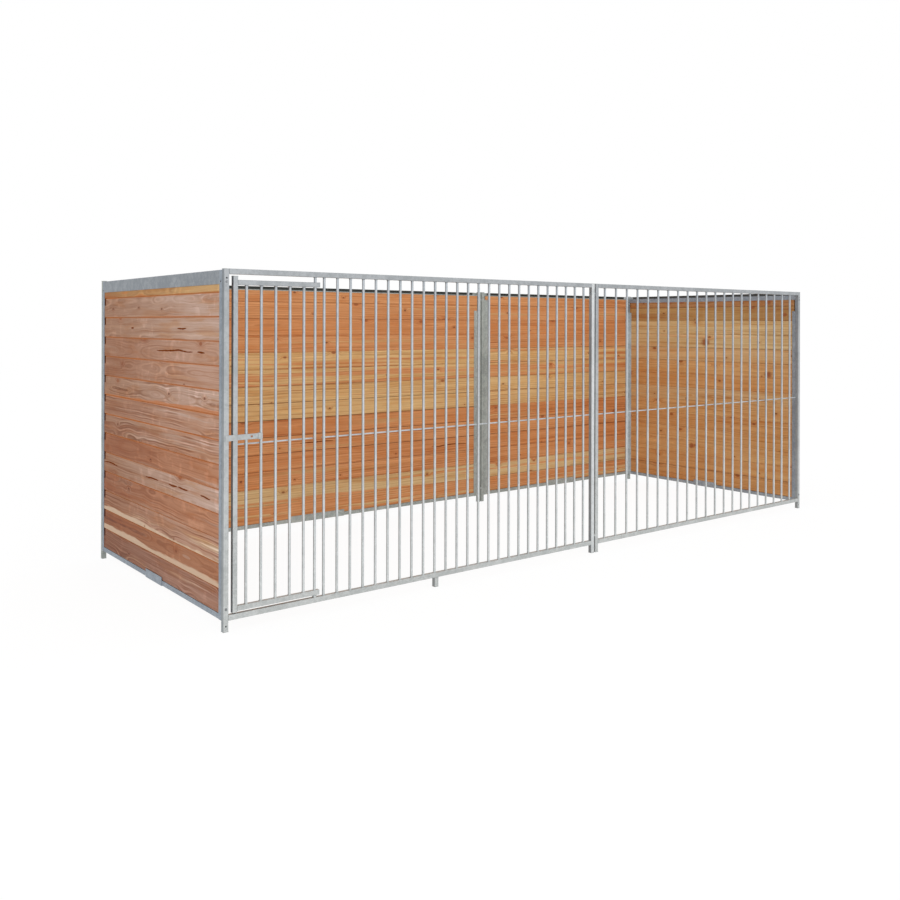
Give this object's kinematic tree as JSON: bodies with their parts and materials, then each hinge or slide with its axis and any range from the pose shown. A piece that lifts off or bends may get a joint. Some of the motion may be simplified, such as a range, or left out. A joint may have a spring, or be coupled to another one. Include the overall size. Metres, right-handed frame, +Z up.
{
  "type": "dog kennel",
  "caption": "Open dog kennel of bolted galvanised panels: barred front with a hinged door and slide bolt, and walls of stacked boards held in steel channels.",
  "frame": {"origin": "on the floor under the middle of the kennel's overall box", "axes": "+X along the front to the right as seen from outside the front, +Y from the barred front to the back wall, +Z up"},
  "size_m": [5.2544, 1.909, 1.84],
  "materials": {
    "galvanised_steel": "hot-dip galvanised, dull light grey",
    "larch_boards": "planed softwood, oiled, warm orange brown",
    "zinc_fasteners": "zinc plated",
    "grey_plastic": "moulded grey plastic"
  },
  "bodies": {
    "kennel": {"back_corner_posts": "galvanised_steel", "back_left_wall_boards": "larch_boards", "back_left_wall_bottom_clip": "galvanised_steel", "back_left_wall_bottom_rail": "galvanised_steel", "back_left_wall_left_channel": "galvanised_steel", "back_left_wall_right_channel": "galvanised_steel", "back_left_wall_top_angle": "galvanised_steel", "back_left_wall_top_strip": "galvanised_steel", "back_right_wall_boards": "larch_boards", "back_right_wall_bottom_clip": "galvanised_steel", "back_right_wall_bottom_rail": "galvanised_steel", "back_right_wall_left_channel": "galvanised_steel", "back_right_wall_right_channel": "galvanised_steel", "back_right_wall_top_angle": "galvanised_steel", "back_right_wall_top_strip": "galvanised_steel", "back_seam_posts": "galvanised_steel", "bar_panel_bars": "galvanised_steel", "bar_panel_bottom_rail": "galvanised_steel", "bar_panel_left_post": "galvanised_steel", "bar_panel_right_post": "galvanised_steel", "bar_panel_rod": "galvanised_steel", "bar_panel_top_rail": "galvanised_steel", "door_panel_bars": "galvanised_steel", "door_panel_bottom_rail": "galvanised_steel", "door_panel_left_post": "galvanised_steel", "door_panel_mid_foot": "galvanised_steel", "door_panel_right_post": "galvanised_steel", "door_panel_rod": "galvanised_steel", "door_panel_top_rail": "galvanised_steel", "foot_plugs": "grey_plastic", "frame_bolts": "zinc_fasteners", "frame_nuts": "zinc_fasteners", "keeper_strap": "galvanised_steel", "left_wall_back_channel": "galvanised_steel", "left_wall_boards": "larch_boards", "left_wall_bottom_clip": "galvanised_steel", "left_wall_bottom_rail": "galvanised_steel", "left_wall_front_channel": "galvanised_steel", "left_wall_top_angle": "galvanised_steel", "left_wall_top_strip": "galvanised_steel", "pivot_bar": "galvanised_steel", "pivot_collar": "galvanised_steel", "right_wall_back_channel": "galvanised_steel", "right_wall_boards": "larch_boards", "right_wall_bottom_clip": "galvanised_steel", "right_wall_bottom_rail": "galvanised_steel", "right_wall_front_channel": "galvanised_steel", "right_wall_top_angle": "galvanised_steel", "right_wall_top_strip": "galvanised_steel", "seam_spacers": "galvanised_steel", "top_plugs": "grey_plastic"},
    "door": {"door_stile": "galvanised_steel", "door_top_rail": "galvanised_steel", "door_bottom_rail": "galvanised_steel", "door_bars": "galvanised_steel", "door_rod": "galvanised_steel", "door_stile_cap": "grey_plastic", "door_bushes": "grey_plastic", "bolt_guide": "galvanised_steel"},
    "slide_bolt": {"slide_bolt": "galvanised_steel"}
  },
  "joints": [
    {"name": "door_hinge", "type": "hinge", "parent": "kennel", "child": "door", "pos_m": [-2.093, -0.936, 0.9], "axis": [0, 0, -1], "range_deg": [0, 135]},
    {"name": "bolt_slide", "type": "slide", "parent": "door", "child": "slide_bolt", "axis": [-1, 0, 0], "range_m": [0, 0.018]}
  ]
}
